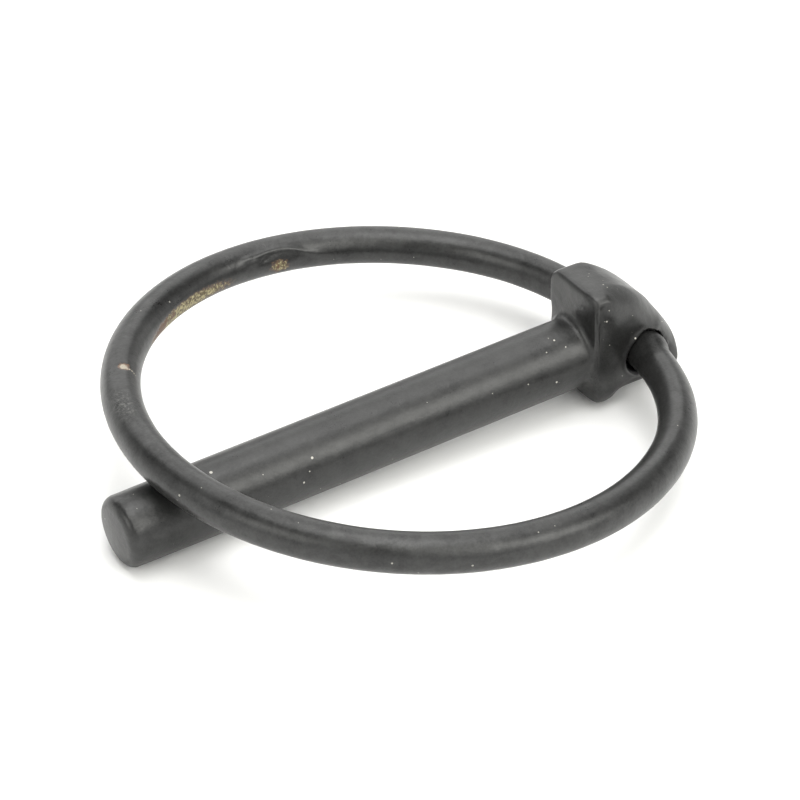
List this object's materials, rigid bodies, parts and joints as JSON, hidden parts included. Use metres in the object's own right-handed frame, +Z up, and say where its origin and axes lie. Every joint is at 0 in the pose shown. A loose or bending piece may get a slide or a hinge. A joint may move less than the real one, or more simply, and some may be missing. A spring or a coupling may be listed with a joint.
{
  "type": "lynch pin",
  "caption": "Forged round pin with a sloped block head and a spring-wire ring that swings over its far end to lock it.",
  "frame": {"origin": "on the shank's axis, where its plain round wall starts, 1.2 mm from the head's shoulder", "axes": "+X along the table towards the tip, +Z up from the table the pin rests on, +Y to the pin's left seen from the head"},
  "size_m": [0.0849, 0.0803, 0.0183],
  "materials": {
    "coated_steel": "satin black coat",
    "coated_wire": "satin black coat, chipped to zinc in places"
  },
  "bodies": {
    "pin": {"pin": "coated_steel"},
    "ring": {"ring": "coated_wire"}
  },
  "joints": [
    {"name": "ring_swing", "type": "hinge", "parent": "pin", "child": "ring", "pos_m": [-0.00959, 0, -0.00017], "axis": [0, -1, 0], "range_deg": [0, 347]}
  ]
}
